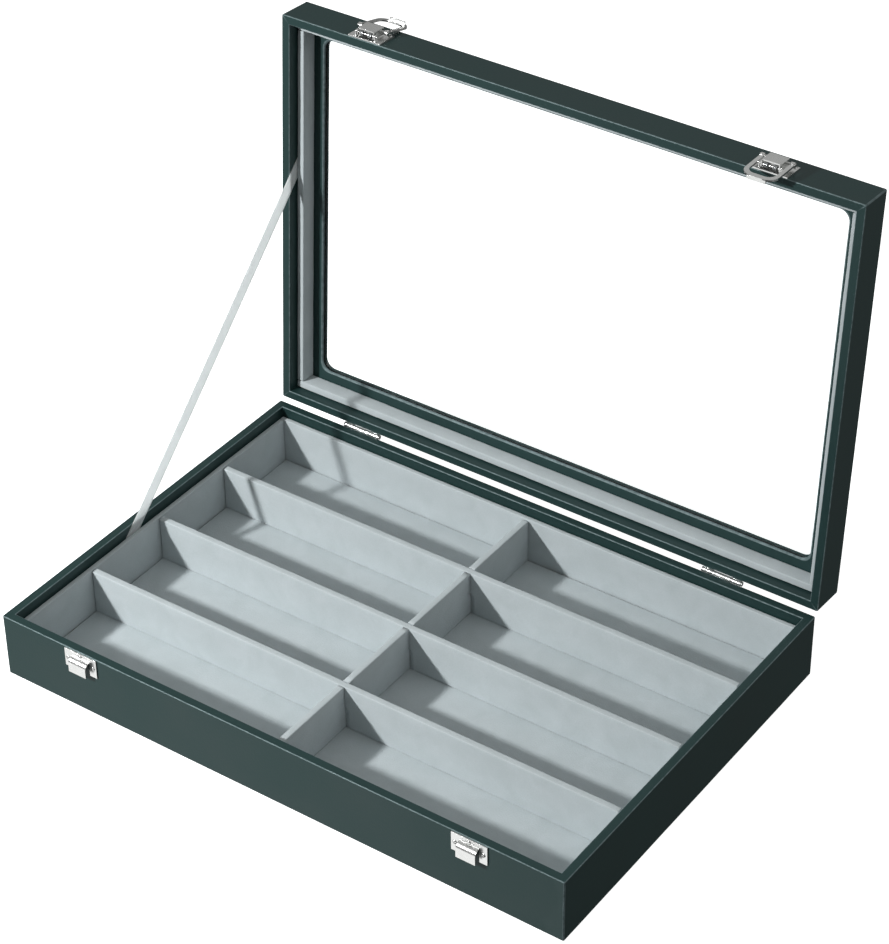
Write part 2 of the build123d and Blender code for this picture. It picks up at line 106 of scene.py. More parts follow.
FLOOR_SIDE = 8.0
floor_mesh = bpy.data.meshes.new("floor")
floor_corners = [(-1, -1), (1, -1), (1, 1), (-1, 1)]
floor_mesh.from_pydata([(x * FLOOR_SIDE / 2, y * FLOOR_SIDE / 2, 0) for x, y in floor_corners],
                       [], [(0, 1, 2, 3)])
floor_finish, _, _ = new_finish("painted_backdrop_lit", Base_Color=linear("f4f5f5"), Roughness=0.9,
                                Emission_Color=linear("ffffff"), Emission_Strength=0.85)
floor_mesh.materials.append(floor_finish)
floor = bpy.data.objects.new("floor", floor_mesh)
scene.collection.objects.link(floor)
floor.visible_diffuse = False
floor.visible_glossy = False

room = bpy.data.worlds.new("room")
scene.world = room
room.use_nodes = True
sky = room.node_tree
BRIGHT_SIDE = (0.55, 0.25, 0.8)
bearing = add_node(sky, "ShaderNodeTexCoord").outputs["Generated"]
facing_it = add_node(sky, "ShaderNodeVectorMath", {0: bearing, 1: BRIGHT_SIDE}, operation="DOT_PRODUCT")
sky_strength = add_node(sky, "ShaderNodeMapRange", {"Value": facing_it.outputs["Value"], "From Min": -0.35,
                                                    "From Max": 0.9, "To Min": 0.03, "To Max": 0.58})
sky.nodes["Background"].inputs["Color"].default_value = linear("fafbfa")
sky.links.new(sky_strength.outputs[0], sky.nodes["Background"].inputs["Strength"])


def soft_lamp(name, place, target, size, watts):
    """A square lamp that faces a point."""
    lamp = bpy.data.objects.new(name, bpy.data.lights.new(name, "AREA"))
    lamp.data.size = size
    lamp.data.energy = watts
    lamp.location = place
    lamp.rotation_euler = (Vector(target) - Vector(place)).to_track_quat("-Z", "Y").to_euler()
    scene.collection.objects.link(lamp)
    return lamp


CARDS = (
    ("top_card", (-0.75, 0.95, 1.3), 1.4, 1.2),
    ("low_card", (-0.32, -0.68, -0.45), 0.9, 3.4),
)
soft_lamp("key_lamp", (-0.61, -0.85, 0.665), (0, 0, 0.05), 0.07, 17.5)
for name, place, side, watts in CARDS:
    card = soft_lamp(name, place, (0, 0, 0.1), side, watts)
    card.visible_diffuse = False
    card.visible_camera = False


# ---------------------------------------------------------------------------------------------
# The tray's covering: PU leather, 0.5 mm thick, glued round the five boards. It is turned in
# over the rim and under the bottom, and the turns are creased hard; their edges get a paler painted
# highlight.
# ---------------------------------------------------------------------------------------------
LEATHER = 0.5 * MM
TURN_IN = 10 * MM
TURN_UNDER = 10 * MM
EDGE_ROUND = 0.5 * MM
CORNER_ROUND = 0.9 * MM
TIGHTEST_CORNER = 0.25 * MM
CORNER_STEPS = 6
FOLD_STEP = 0.4 * MM
WAVE = 0.07 * MM
WAVE_LENGTH = 24 * MM
FLAT_FACES = [("WEIGHTED_NORMAL", {"keep_sharp": True})]


def patches(tree, place, size_mm, detail=2.0, distortion=0.0):
    """An uneven pattern, from 0 to 1, whose patches are about size_mm across."""
    sockets = {"Vector": place, "Scale": 1000 / size_mm, "Detail": detail, "Distortion": distortion}
    return add_node(tree, "ShaderNodeTexNoise", sockets).outputs["Fac"]


def between(tree, pattern, low, high):
    """A pattern's values put between low and high."""
    return add_node(tree, "ShaderNodeMapRange", {"Value": pattern, "To Min": low, "To Max": high}).outputs[0]


def mixed(tree, pattern, first, second, **settings):
    """A colour that goes from the first to the second with a pattern."""
    mix = add_node(tree, "ShaderNodeMix", {0: pattern, 6: first, 7: second}, data_type="RGBA", **settings)
    return mix.outputs[2]


def raise_surface(tree, shader, pattern, height, strength=1.0):
    """Makes a surface look raised by a height where a pattern is 1."""
    bump = add_node(tree, "ShaderNodeBump", {"Height": pattern, "Distance": height, "Strength": strength})
    tree.links.new(bump.outputs["Normal"], shader.inputs["Normal"])


def leather_finish():
    """Pebble-embossed PU on cloth: dark green-grey, satin, with a paler painted highlight along its hard
    creases and outer corners.
    """
    material, tree, shader = new_finish("pu_leather_embossed", IOR=1.5, Specular_IOR_Level=0.44,
                                        Specular_Tint=linear("d4e8ea"))
    grain_mm = 0.75  # real pebbles are nearer 0.5 mm, too fine to show
    place = add_node(tree, "ShaderNodeTexCoord").outputs["Object"]
    pebbles = add_node(tree, "ShaderNodeTexVoronoi", {"Vector": place, "Scale": 1000 / grain_mm},
                       feature="SMOOTH_F1")
    creases = patches(tree, place, 3 * grain_mm, detail=3.0)
    drift = patches(tree, place, 38)
    colour = mixed(tree, drift, linear("182d2c"), linear("203736"))
    # Painted highlight: creased folds and outer corners are coloured paler, broken up by the crease noise.
    painted_highlight = add_node(tree, "ShaderNodeAttribute", attribute_name="painted_highlight").outputs["Fac"]
    painted_highlight = add_node(tree, "ShaderNodeMath", {0: painted_highlight, 1: creases}, operation="MULTIPLY").outputs[0]
    colour = mixed(tree, painted_highlight, colour, linear("7f8f92"))
    tree.links.new(colour, shader.inputs["Base Color"])
    tree.links.new(between(tree, drift, 0.4, 0.54), shader.inputs["Roughness"])
    height = add_node(tree, "ShaderNodeMath", {0: pebbles.outputs["Distance"], 1: creases}).outputs[0]
    raise_surface(tree, shader, height, 0.05 * MM, 0.5)
    return material


def finished(mesh, modifiers):
    """The mesh with modifiers applied, each given as (type, settings)."""
    carrier = bpy.data.objects.new("carrier", mesh)
    scene.collection.objects.link(carrier)
    for kind, settings in modifiers:
        modifier = carrier.modifiers.new(kind.lower(), kind)
        for name, value in settings.items():
            setattr(modifier, name, value)
    depsgraph = bpy.context.evaluated_depsgraph_get()
    result = bpy.data.meshes.new_from_object(carrier.evaluated_get(depsgraph), depsgraph=depsgraph)
    bpy.data.objects.remove(carrier)
    return result


def arc(inset, height, radius, start, end, steps=5):
    """Points round a fold, as (inset from the outer face, height)."""
    turns = [math.radians(start + (end - start) * i / steps) for i in range(steps + 1)]
    return [(inset + radius * math.cos(turn), height + radius * math.sin(turn)) for turn in turns]


def spread(outline, pitch):
    """The closed outline with points added, so that no step is much over a pitch."""
    points = []
    for (a, b), (c, d) in zip(outline, outline[1:] + outline[:1]):
        parts = max(1, round(math.hypot(c - a, d - b) / pitch))
        points += [(a + (c - a) * i / parts, b + (d - b) * i / parts) for i in range(parts)]
    return points


def fold_points(outline):
    """The outline's points inside its tight curves, where the leather is creased."""
    folds = set()
    for i, point in enumerate(outline):
        after = outline[(i + 1) % len(outline)]
        if max(math.dist(point, outline[i - 1]), math.dist(point, after)) < FOLD_STEP:
            folds.add(point)
    return folds


def wrapped_ring(outline, half_x, half_y, hole_inset=None, hole_round=0, pitch=7 * MM):
    """A closed shell: an outline of (inset, height) run round a rectangle with rounded corners.
    The corners are tight as far in as the wall, and then widen to hole_round at hole_inset."""
    verts, faces, painted_highlight = [], [], []
    folds = fold_points(outline)
    sides = (round(2 * half_y / pitch), round(2 * half_x / pitch))
    profile = spread(outline, pitch)
    for inset, height in profile:
        share = min(1, max(0, (inset - wall) / (hole_inset - wall))) if hole_inset else 0
        radius = max(TIGHTEST_CORNER, CORNER_ROUND - inset) * (1 - share) + hole_round * share
        run_x, run_y = half_x - inset - radius, half_y - inset - radius
        for corner, (sx, sy) in enumerate(((1, 1), (-1, 1), (-1, -1), (1, -1))):
            for i in range(CORNER_STEPS + 1):
                turn = math.radians(90 * (corner + i / CORNER_STEPS))
                x, y = sx * run_x + radius * math.cos(turn), sy * run_y + radius * math.sin(turn)
                verts.append((x, y, height))
                # Painted highlight mask: 1 on the creased folds and round the outer vertical corner, 0
                # elsewhere.
                outer_corner = 0 < i < CORNER_STEPS and inset < EDGE_ROUND
                painted_highlight.append(1.0 if (inset, height) in folds or outer_corner else 0.0)
            start, count = Vector(verts[-1]), sides[1 - corner % 2]
            along = Vector((-2 * run_x * sx, 0, 0)) if corner % 2 == 0 else Vector((0, -2 * run_y * sy, 0))
            for i in range(1, count):
                verts.append(tuple(start + along * i / count))
                painted_highlight.append(1.0 if (inset, height) in folds else 0.0)
    loop = len(verts) // len(profile)
    for row in range(len(profile)):
        below, above = row * loop, (row + 1) % len(profile) * loop
        for i in range(loop):
            j = (i + 1) % loop
            faces.append((below + i, below + j, above + j, above + i))
    mesh = bpy.data.meshes.new("wrapped_ring")
    mesh.from_pydata(verts, [], faces)
    mesh.attributes.new("painted_highlight", "FLOAT", "POINT").data.foreach_set("value", painted_highlight)
    tidy_faces(mesh)
    for vert in mesh.vertices:
        vert.co += vert.normal * WAVE * noise.noise(vert.co / WAVE_LENGTH)
    return finished(mesh, FLAT_FACES)


def tidy_faces(mesh):
    """Merges doubles, turns every face outwards and shades it smooth apart from real edges."""
    bm = bmesh.new()
    bm.from_mesh(mesh)
    bmesh.ops.remove_doubles(bm, verts=bm.verts, dist=0.002 * MM)
    bmesh.ops.recalc_face_normals(bm, faces=bm.faces)
    bm.to_mesh(mesh)
    bm.free()
    mesh.shade_smooth()
    mesh.set_sharp_from_angle(angle=math.radians(50))


def place_piece(name, mesh, finish, body, slot, *nodes):
    """Puts a finished mesh in the scene for the plain solids that it stands for, on a body if it has one."""
    mesh.name = name
    mesh.materials.clear()
    mesh.materials.append(finish)
    piece = bpy.data.objects.new(name, mesh)
    scene.collection.objects.link(piece)
    if body:
        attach(piece, body)
    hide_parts(*nodes)
    return piece


leather = leather_finish()
cover_low, cover_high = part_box("base_leather_cover")
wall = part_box("base_left_board")[1].x - cover_low.x + LEATHER
base_outline = [
    *arc(EDGE_ROUND, cover_low.z + EDGE_ROUND, EDGE_ROUND, 270, 180),
    *arc(EDGE_ROUND, cover_high.z - EDGE_ROUND, EDGE_ROUND, 180, 90),
    *arc(wall - EDGE_ROUND, cover_high.z - EDGE_ROUND, EDGE_ROUND, 90, 0),
    (wall, cover_high.z - TURN_IN),
    (wall - LEATHER, cover_high.z - TURN_IN),
    (wall - LEATHER, cover_high.z - LEATHER),
    (LEATHER, cover_high.z - LEATHER),
    (LEATHER, cover_low.z + LEATHER),
    (TURN_UNDER, cover_low.z + LEATHER),
    (TURN_UNDER, cover_low.z),
]
place_piece("base_cover", wrapped_ring(base_outline, cover_high.x, cover_high.y),
            leather, "base", "leather", "base_leather_cover")


# ---------------------------------------------------------------------------------------------
# Boards: sawn fibreboard, covered everywhere, so it shows only when the box is taken apart. The
# window's board is coloured near-black as painted shade, because its edge can be seen through the
# pane. The sheet under the tray is black non-woven cloth, which hides the turned-in leather.
# ---------------------------------------------------------------------------------------------
def fibres_of(tree, shader, dark, light):
    """Pressed fibres, coloured between dark and light. Gives back their pattern."""
    place = add_node(tree, "ShaderNodeTexCoord").outputs["Object"]
    fibres = patches(tree, place, 1.2, detail=4.0)
    tree.links.new(mixed(tree, fibres, linear(dark), linear(light)), shader.inputs["Base Color"])
    return fibres


def board_finish():
    """Medium-density fibreboard: tan with darker flecks, and quite dull."""
    material, tree, shader = new_finish("mdf_sawn", Roughness=0.85)
    raise_surface(tree, shader, fibres_of(tree, shader, "8c6a43", "c9a678"), 0.05 * MM)
    return material


def shade_painted_board_finish():
    """The same board coloured near-black, as painted shade behind the window's edge."""
    material, tree, shader = new_finish("mdf_edge_painted_shade", Roughness=0.8)
    # Painted shade: near-black colour for the board edge seen through the pane.
    fibres_of(tree, shader, "141a1a", "222a2a")
    return material


def backing_finish():
    """Spun-bonded cloth: black and matt, with a small dimple pressed in at every pitch."""
    material, tree, shader = new_finish("non_woven_backing", Roughness=0.95, Base_Color=linear("1d2121"))
    pitch_mm = 1.5
    place = add_node(tree, "ShaderNodeTexCoord").outputs["Object"]
    dimples = add_node(tree, "ShaderNodeTexVoronoi",
                       {"Vector": place, "Scale": 1000 / pitch_mm, "Randomness": 0.15})
    raise_surface(tree, shader, dimples.outputs["Distance"], 0.12 * MM)
    return material


def dress(node, finish):
    """Gives a carried-over CAD node its finish."""
    mesh = frame["nodes"][node].data
    mesh.materials.clear()
    mesh.materials.append(finish)


board, shade_painted_board = board_finish(), shade_painted_board_finish()
for node in frame["nodes"]:
    if node.endswith("_board"):
        dress(node, shade_painted_board if node == "window_frame_board" else board)
backing = backing_finish()


# ---------------------------------------------------------------------------------------------
# Lining of the tray: card strips, a floor pad and four dividers, all wrapped in short velvet.
# The dividers are halved into each other, and the wrapped edges are soft and slightly uneven.
# ---------------------------------------------------------------------------------------------
VELVET_ROUND = 0.7 * MM
PAD_ROUND = 0.6 * MM
VELVET_SWAY = 0.16 * MM
SWAY_LENGTH = 17 * MM


def velvet_finish():
    """Short-pile velvet: pale cool grey, matt, brushed into patches, brighter at grazing angles."""
    material, tree, shader = new_finish("cotton_velvet_short_pile", Roughness=0.95, Sheen_Weight=0.35,
                                        Sheen_Roughness=0.45, Sheen_Tint=linear("e6ecf0"),
                                        Specular_IOR_Level=0.15)
    place = add_node(tree, "ShaderNodeTexCoord").outputs["Object"]
    nap = patches(tree, place, 14, detail=3.0, distortion=0.6)
    pile_mm = 0.7  # real tufts are about 0.2 mm, too fine to show
    pile = patches(tree, place, pile_mm, detail=3.0)
    colour = mixed(tree, nap, linear("a8b1b3"), linear("bac2c5"))
    colour = mixed(tree, 1.0, colour, between(tree, pile, 0.9, 1.07), blend_type="MULTIPLY")
    tree.links.new(colour, shader.inputs["Base Color"])
    raise_surface(tree, shader, pile, 0.25 * MM, 0.6)
    return material


def grid_lines(low, high, radius, pitch):
    """Places along one side of a wrapped board: close where the edge rounds, a pitch apart between."""
    span = high - low - 2 * radius
    parts = max(1, round(span / pitch))
    fine = [0, 0.3 * radius, 0.62 * radius]
    return [*[low + f for f in fine], *[low + radius + span * i / parts for i in range(parts + 1)],
            *[high - f for f in reversed(fine)]]


def soft_block(low, high, radius, pitch=5 * MM, sway=0.0):
    """A block with round edges, whose faces wander a little as cloth over card does."""
    bm = bmesh.new()
    lines = [grid_lines(low[a], high[a], radius, pitch) for a in range(3)]
    for axis in range(3):
        u, v = (axis + 1) % 3, (axis + 2) % 3
        for end in (low[axis], high[axis]):
            rows = []
            for a in lines[u]:
                row = []
                for b in lines[v]:
                    point = [0, 0, 0]
                    point[axis], point[u], point[v] = end, a, b
                    row.append(bm.verts.new(point))
                rows.append(row)
            for i in range(len(rows) - 1):
                for j in range(len(rows[0]) - 1):
                    bm.faces.new((rows[i][j], rows[i + 1][j], rows[i + 1][j + 1], rows[i][j + 1]))
    bmesh.ops.remove_doubles(bm, verts=bm.verts, dist=0.002 * MM)
    bmesh.ops.recalc_face_normals(bm, faces=bm.faces)
    for vert in bm.verts:
        core = Vector([min(max(vert.co[a], low[a] + radius), high[a] - radius) for a in range(3)])
        out = (vert.co - core).normalized()
        vert.co = core + out * (radius + sway * (noise.noise(vert.co / SWAY_LENGTH) - 0.5))
    mesh = bpy.data.meshes.new("soft_block")
    bm.to_mesh(mesh)
    bm.free()
    mesh.shade_smooth()
    return mesh


def notched(mesh, notches):
    """The mesh with box-shaped notches cut out of it."""
    bm = bmesh.new()
    for low, high in notches:
        middle = (Vector(low) + Vector(high)) / 2
        size = [high[a] - low[a] for a in range(3)]
        bmesh.ops.create_cube(bm, size=1, matrix=Matrix.LocRotScale(middle, None, size))
    cutter = bpy.data.objects.new("cutter", bpy.data.meshes.new("cutter"))
    bm.to_mesh(cutter.data)
    bm.free()
    scene.collection.objects.link(cutter)
    result = finished(mesh, [("BOOLEAN", {"object": cutter, "operation": "DIFFERENCE", "solver": "EXACT"})])
    bpy.data.objects.remove(cutter)
    return result


velvet = velvet_finish()
for side in ("front", "rear", "left", "right"):
    low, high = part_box(f"base_liner_{side}")
    place_piece(f"tray_liner_{side}", soft_block(low, high, VELVET_ROUND, sway=VELVET_SWAY),
                velvet, "base", "velvet", f"base_liner_{side}")
low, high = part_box("base_floor_pad")
place_piece("floor_pad", soft_block(low, high, PAD_ROUND, pitch=8 * MM, sway=VELVET_SWAY),
            velvet, "base", "velvet", "base_floor_pad")

row_names = ("rear", "middle", "front")
row_boxes = {name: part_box(f"row_divider_{name}") for name in row_names}
centre_low, centre_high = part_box("centre_divider")
LAP_SLACK = 0.15 * MM
lap_half = (centre_high.x - centre_low.x) / 2 + LAP_SLACK
lap_height = (centre_low.z + centre_high.z) / 2
BEYOND = 1 * MM
centre_notches = []
for name in row_names:
    low, high = row_boxes[name]
    middle = (low.y + high.y) / 2
    near, far = middle - lap_half, middle + lap_half
    notch = ((-lap_half, near, low.z - BEYOND), (lap_half, far, lap_height + LAP_SLACK))
    centre_notches.append(((-lap_half, near, lap_height), (lap_half, far, high.z + BEYOND)))
    row = notched(soft_block(low, high, VELVET_ROUND, sway=VELVET_SWAY), [notch])
    place_piece(f"divider_{name}", row, velvet, "base", "velvet", f"row_divider_{name}")
centre = notched(soft_block(centre_low, centre_high, VELVET_ROUND, sway=VELVET_SWAY), centre_notches)
place_piece("divider_centre", centre, velvet, "base", "velvet", "centre_divider")

low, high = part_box("base_underside_sheet")
place_piece("underside_cloth", soft_block(low, high, 0.25 * MM, pitch=20 * MM),
            backing, "base", "underside", "base_underside_sheet")


# ---------------------------------------------------------------------------------------------
# The lid is worked out shut, flat above the tray, and swung open as the CAD holds it at rest.
# Its covering is one piece of the same leather, cut out and turned down round the window.
# ---------------------------------------------------------------------------------------------
lid_joint = next(joint for joint in frame["joints"] if joint["name"] == "lid_hinge")
pivot = Matrix.Translation(lid_joint["pos_m"])
shutting = Matrix.Rotation(math.radians(lid_joint["range_deg"][0]), 4, Vector(lid_joint["axis"]))
to_shut = pivot @ shutting @ pivot.inverted()
to_open = to_shut.inverted()


def shut_box(node):
    """The lowest and highest corners of a lid node with the lid shut."""
    points = [to_shut @ vert.co for vert in frame["nodes"][node].data.vertices]
    return (Vector([min(p[a] for p in points) for a in range(3)]),
            Vector([max(p[a] for p in points) for a in range(3)]))


def swung(mesh):
    """The mesh moved from the shut lid to the open one."""
    mesh.transform(to_open)
    return mesh


WINDOW_ROUND = 6 * MM
lid_low, lid_high = shut_box("lid_leather_cover")
frame_low, frame_high = shut_box("window_inner_frame")
pane_low, pane_high = shut_box("window_pane")
PANE_LAP = 4.5 * MM
PANE_SLACK = 0.2 * MM
window_inset = lid_high.x - (pane_high.x - PANE_LAP)
wrap_end = pane_high.z + 2 * PANE_SLACK
HEM_ROUND = 0.5 * MM
SILL_ROUND = 1.1 * MM
lid_outline = [
    *arc(wall - EDGE_ROUND, lid_low.z + EDGE_ROUND, EDGE_ROUND, 0, -90),
    *arc(EDGE_ROUND, lid_low.z + EDGE_ROUND, EDGE_ROUND, 270, 180),
    *arc(EDGE_ROUND, lid_high.z - EDGE_ROUND, EDGE_ROUND, 180, 90),
    *arc(window_inset - HEM_ROUND, lid_high.z - HEM_ROUND, HEM_ROUND, 90, 0),
    (window_inset, wrap_end),
    (window_inset - LEATHER, wrap_end),
    (window_inset - LEATHER, lid_high.z - LEATHER),
    (LEATHER, lid_high.z - LEATHER),
    (LEATHER, lid_low.z + LEATHER),
    (wall - LEATHER, lid_low.z + LEATHER),
    (wall - LEATHER, lid_low.z + TURN_IN),
    (wall, lid_low.z + TURN_IN),
]
lid_shell = wrapped_ring(lid_outline, lid_high.x, lid_high.y, window_inset, WINDOW_ROUND)
place_piece("lid_cover", swung(lid_shell), leather, "lid", "leather", "lid_leather_cover")

inner_outset = lid_high.x - frame_high.x
inner_outline = [
    (inner_outset, frame_low.z),
    *arc(window_inset - SILL_ROUND, frame_low.z + SILL_ROUND, SILL_ROUND, -90, 0),
    (window_inset, frame_high.z),
    (inner_outset, frame_high.z),
]
inner_shell = wrapped_ring(inner_outline, lid_high.x, lid_high.y, window_inset, WINDOW_ROUND)
place_piece("lid_inner_frame", swung(inner_shell), leather, "lid", "leather", "window_inner_frame")


# ---------------------------------------------------------------------------------------------
# Window: a loose pane of clear cast acrylic with polished edges, held between the rebated
# board and the leather-covered inner frame. It is hardly seen, apart from its reflections.
# ---------------------------------------------------------------------------------------------
def acrylic_finish():
    """Cast acrylic: clear, IOR 1.49, very smooth, with the faintest cool tint."""
    material = bpy.data.materials.new("acrylic_clear_cast")
    material.use_nodes = True
    tree = material.node_tree
    tree.nodes.remove(tree.nodes["Principled BSDF"])
    through = add_node(tree, "ShaderNodeBsdfTransparent", {"Color": linear("fbfdfd")})
    mirror = add_node(tree, "ShaderNodeBsdfGlossy", {"Color": linear("ffffff"), "Roughness": 0.02})
    facing = add_node(tree, "ShaderNodeLayerWeight").outputs["Facing"]
    steep = add_node(tree, "ShaderNodeMath", {0: facing, 1: 5.0}, operation="POWER").outputs[0]
    share = between(tree, steep, 0.04, 1.0)
    mix = add_node(tree, "ShaderNodeMixShader", {0: share, 1: through.outputs[0], 2: mirror.outputs[0]})
    tree.links.new(mix.outputs[0], tree.nodes["Material Output"].inputs["Surface"])
    return material


pane_mesh = finished(soft_block(pane_low, pane_high, 0.2 * MM, pitch=40 * MM), FLAT_FACES)
place_piece("pane", swung(pane_mesh), acrylic_finish(), "lid", "pane", "window_pane")
for side in ("front", "rear", "left", "right"):
    low, high = shut_box(f"lid_liner_{side}")
    place_piece(f"lid_lining_{side}", swung(soft_block(low, high, VELVET_ROUND, sway=VELVET_SWAY)),
                velvet, "lid", "velvet", f"lid_liner_{side}")


# ---------------------------------------------------------------------------------------------
# Butt hinges: stamped steel leaves with rolled knuckles on a headed pin, bright nickel plated.
# Stamping and plating leave every edge slightly round, which is what catches the light.
# ---------------------------------------------------------------------------------------------
def nickel_finish():
    """Nickel plate on steel: bright, slightly warm, a little blurred by fine rubbing marks."""
    material, tree, shader = new_finish("nickel_plate_bright", Metallic=1.0)
    place = add_node(tree, "ShaderNodeTexCoord").outputs["Object"]
    cloud = patches(tree, place, 4.0, detail=3.0)
    tree.links.new(mixed(tree, cloud, linear("d0d1cf"), linear("dfe0df")), shader.inputs["Base Color"])
    stretch = add_node(tree, "ShaderNodeMapping", {"Vector": place, "Scale": (0.15, 1.0, 1.0)})
    rubs = patches(tree, stretch.outputs[0], 0.4)
    tree.links.new(between(tree, rubs, 0.2, 0.36), shader.inputs["Roughness"])
    raise_surface(tree, shader, rubs, 0.01 * MM, 0.12)
    return material


def eased(node, width):
    """The node's own shape with its sharp edges rounded by a width, as a press and plating leave it."""
    bm = bmesh.new()
    bm.from_mesh(frame["nodes"][node].data)
    bmesh.ops.remove_doubles(bm, verts=bm.verts, dist=0.002 * MM)
    bmesh.ops.dissolve_limit(bm, angle_limit=math.radians(1), verts=bm.verts, edges=bm.edges)
    mesh = bpy.data.meshes.new(node)
    bm.to_mesh(mesh)
    bm.free()
    mesh.shade_smooth()
    return finished(mesh, [("BEVEL", {"width": width, "segments": 2, "limit_method": "ANGLE",
                                      "angle_limit": math.radians(40)}),
                           ("WEIGHTED_NORMAL", {"keep_sharp": True})])


nickel = nickel_finish()
PRESSED = 0.14 * MM
for side in ("left", "right"):
    place_piece(f"hinge_tray_leaf_{side}", eased(f"hinge_base_leaf_{side}", PRESSED),
                nickel, "base", "chrome", f"hinge_base_leaf_{side}")
    place_piece(f"hinge_top_leaf_{side}", eased(f"hinge_lid_leaf_{side}", PRESSED),
                nickel, "lid", "chrome", f"hinge_lid_leaf_{side}")
    place_piece(f"hinge_rivet_{side}", eased(f"hinge_pin_{side}", PRESSED),
                nickel, "base", "chrome", f"hinge_pin_{side}")


# ---------------------------------------------------------------------------------------------
# Catches and latches: pressed nickel-plated plates, a sprung lever between two ears, and a
# stamped loop on the lever's upper pin, whose turned-in end hooks behind the catch's tongue.
# ---------------------------------------------------------------------------------------------
for side in ("left", "right"):
    for name, node, body in (
        ("catch", f"catch_plate_{side}", "base"),
        ("latch_base", f"latch_plate_{side}", "lid"),
        ("latch_axle", f"latch_lever_pin_{side}", "lid"),
        ("latch_cover", f"latch_lever_{side}", f"lever_{side}"),
        ("loop_axle", f"latch_loop_pin_{side}", f"loop_pin_{side}"),
        ("loop", f"latch_loop_{side}", f"loop_{side}"),
    ):
        place_piece(f"{name}_{side}", eased(node, PRESSED), nickel, body, "chrome", node)

# ---------------------------------------------------------------------------------------------
# Torsion springs: drawn steel wire wound in two close coils round the lever's pin, left and
# right of a slot. Each coil's outer end runs on under the lever as a straight leg.
# ---------------------------------------------------------------------------------------------
SPRING_WIRE = 0.62 * MM
COIL_PITCH = 0.7 * MM
LEG = 3.2 * MM
STEPS_PER_TURN = 20


def wire_finish():
    """Spring steel as drawn: grey, with a dull shine that changes from place to place."""
    material, tree, shader = new_finish("spring_steel_drawn", Metallic=1.0, Base_Color=linear("bfc2c3"))
    place = add_node(tree, "ShaderNodeTexCoord").outputs["Object"]
    marks = patches(tree, place, 0.5)
    tree.links.new(between(tree, marks, 0.22, 0.38), shader.inputs["Roughness"])
    return material


def coil_path(start, direction, turns, radius, centre):
    """Points round a helix along X that goes out from start, then a straight leg up the lever."""
    steps = round(turns * STEPS_PER_TURN)
    points = []
    for i in range(steps + 1):
        turn = 2 * math.pi * i / STEPS_PER_TURN
        x = start + direction * COIL_PITCH * i / STEPS_PER_TURN
        points.append(Vector((x, centre.y - radius * math.cos(turn), centre.z + radius * math.sin(turn))))
    points.append(points[-1] + Vector((0, 0, LEG)))
    return points


def wire_mesh(paths, radius):
    """Round wire along each path."""
    curve = bpy.data.curves.new("wire", "CURVE")
    curve.dimensions = "3D"
    curve.bevel_depth = radius
    curve.bevel_resolution = 2
    curve.use_fill_caps = True
    for path in paths:
        spline = curve.splines.new("POLY")
        spline.points.add(len(path) - 1)
        for point, place in zip(spline.points, path):
            point.co = (*place, 1)
    return finished(curve, [])


spring_steel = wire_finish()
for side in ("left", "right"):
    low, high = shut_box(f"latch_spring_{side}")
    middle = (low + high) / 2
    radius = (high.z - low.z - SPRING_WIRE) / 2
    slot_half = 1.0 * MM + SPRING_WIRE / 2
    turns = math.floor((high.x - middle.x - slot_half) / COIL_PITCH)
    coils = [coil_path(middle.x + way * slot_half, way, turns, radius, middle) for way in (-1, 1)]
    place_piece(f"spring_{side}", swung(wire_mesh(coils, SPRING_WIRE / 2)),
                spring_steel, "lid", "spring_steel", f"latch_spring_{side}")


# ---------------------------------------------------------------------------------------------
# Screws: small nickel-plated wood screws with domed heads and a sawn slot, each left at the
# angle where it pulled up tight. One head is built and set on every fixing by Geometry Nodes.
# ---------------------------------------------------------------------------------------------
HEAD_HEIGHT = 0.6 * MM


